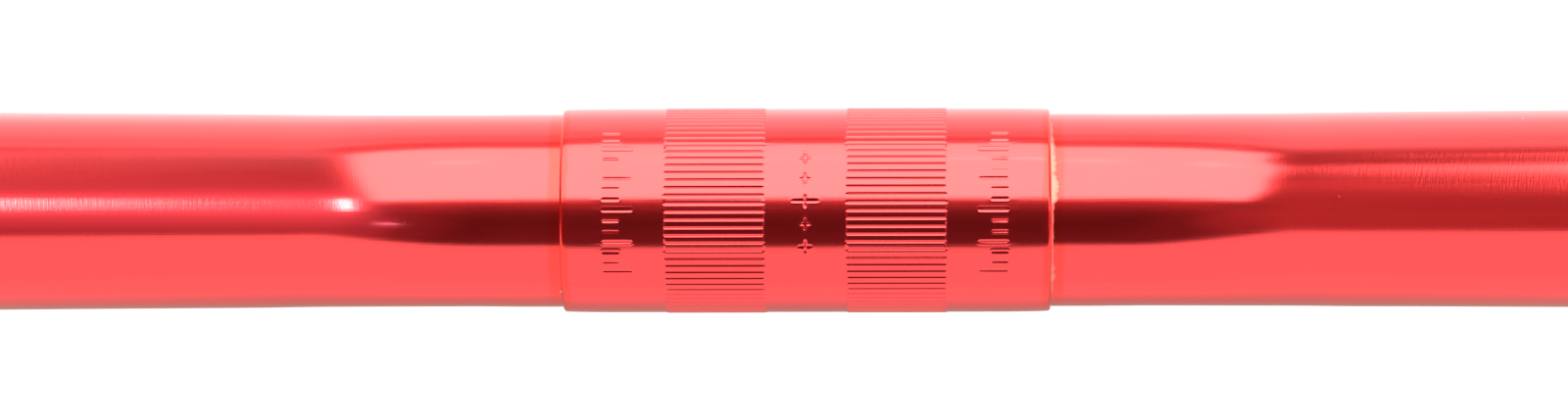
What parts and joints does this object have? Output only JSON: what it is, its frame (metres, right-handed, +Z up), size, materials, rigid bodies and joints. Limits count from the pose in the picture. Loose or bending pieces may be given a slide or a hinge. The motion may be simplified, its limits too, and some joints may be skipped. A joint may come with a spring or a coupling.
{
  "type": "riser handlebar",
  "caption": "Bent bicycle handlebar tube with raised, swept-back open ends and a bonded, knurled sleeve in the middle for the stem's clamp.",
  "frame": {"origin": "centre of the clamp sleeve, on the tube's axis", "axes": "+X along the clamp to the rider's right, +Y forwards, away from the rider, +Z up, the way the bar rises"},
  "size_m": [0.6436, 0.0555, 0.0738],
  "materials": {
    "tube_red": "polished, bright red anodised, with fine marks along the bar",
    "sleeve_red": "polished and knurled, bright red anodised, orange at its ends",
    "adhesive": "cured adhesive, cream, uneven"
  },
  "bodies": {
    "root": {"handlebar_tube": "tube_red", "clamp_sleeve": "sleeve_red", "bond_bead": "adhesive"}
  },
  "joints": []
}
